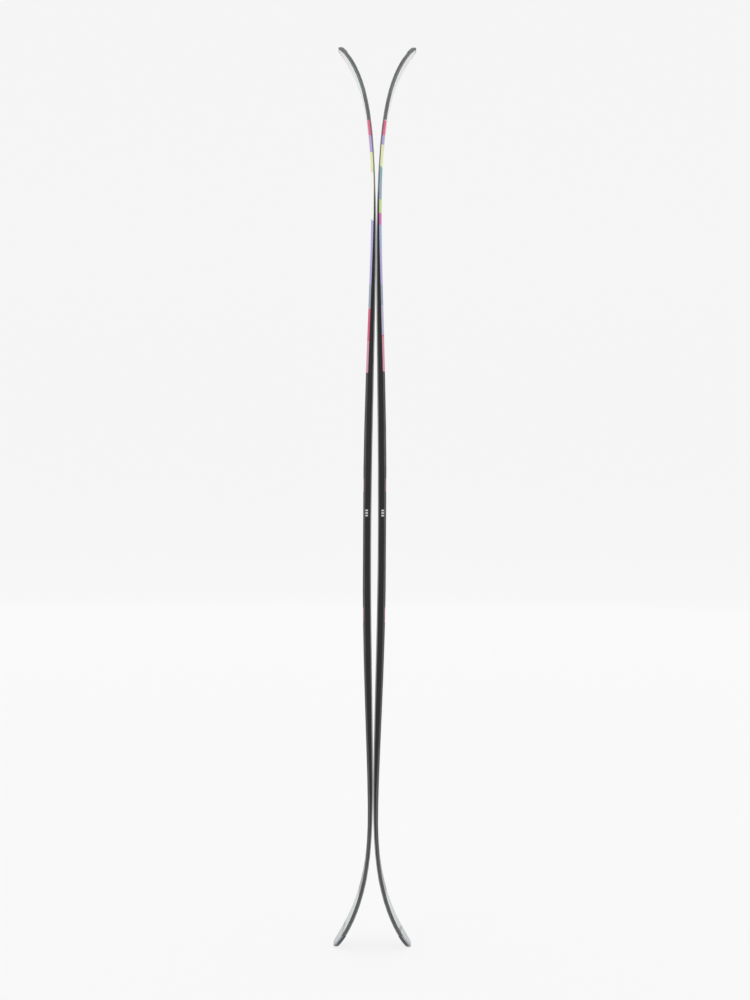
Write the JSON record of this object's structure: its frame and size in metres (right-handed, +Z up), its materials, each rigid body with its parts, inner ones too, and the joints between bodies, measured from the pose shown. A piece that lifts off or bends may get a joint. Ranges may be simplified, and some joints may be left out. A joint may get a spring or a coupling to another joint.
{
  "type": "cross country ski",
  "caption": "Pair of wide steel-edged skis with turned-up tips and tails, stood upright base to base, without bindings.",
  "frame": {"origin": "centre of the bottom of the bounding box, level with the tail ends, on the plane where the two bases meet", "axes": "+Z up along the skis from tail to tip; X across the thickness, the right ski at positive X; Y across the width"},
  "size_m": [0.1556, 0.112, 1.8],
  "materials": {
    "base": "satin, stone ground",
    "edge_steel": "ground",
    "damping_rubber": "matte",
    "glass_laminate": "resin bound glass fibre",
    "plate": "mill",
    "light_wood": "sawn",
    "hard_wood": "sawn",
    "sidewall": "milled",
    "spacer": "satin",
    "topsheet": "satin lacquer over a colour-block pattern",
    "tip_guard": "satin",
    "tail_guard": "satin"
  },
  "bodies": {
    "left_ski": {"left_base": "base", "left_steel_edge_front": "edge_steel", "left_steel_edge_back": "edge_steel", "left_damping_strip_front": "damping_rubber", "left_damping_strip_back": "damping_rubber", "left_lower_laminate": "glass_laminate", "left_binding_plate": "plate", "left_core_centre": "light_wood", "left_core_stringers": "hard_wood", "left_core_outer": "light_wood", "left_upper_laminate": "glass_laminate", "left_sidewall_front": "sidewall", "left_sidewall_back": "sidewall", "left_tip_spacer": "spacer", "left_tail_spacer": "spacer", "left_topsheet": "topsheet", "left_tip_guard": "tip_guard", "left_tail_guard": "tail_guard"},
    "right_ski": {"right_base": "base", "right_steel_edge_front": "edge_steel", "right_steel_edge_back": "edge_steel", "right_damping_strip_front": "damping_rubber", "right_damping_strip_back": "damping_rubber", "right_lower_laminate": "glass_laminate", "right_binding_plate": "plate", "right_core_centre": "light_wood", "right_core_stringers": "hard_wood", "right_core_outer": "light_wood", "right_upper_laminate": "glass_laminate", "right_sidewall_front": "sidewall", "right_sidewall_back": "sidewall", "right_tip_spacer": "spacer", "right_tail_spacer": "spacer", "right_topsheet": "topsheet", "right_tip_guard": "tip_guard", "right_tail_guard": "tail_guard"}
  },
  "joints": [
    {"name": "skis_apart", "type": "slide", "parent": "left_ski", "child": "right_ski", "axis": [1, 0, 0], "range_m": [0, 0.3]}
  ]
}
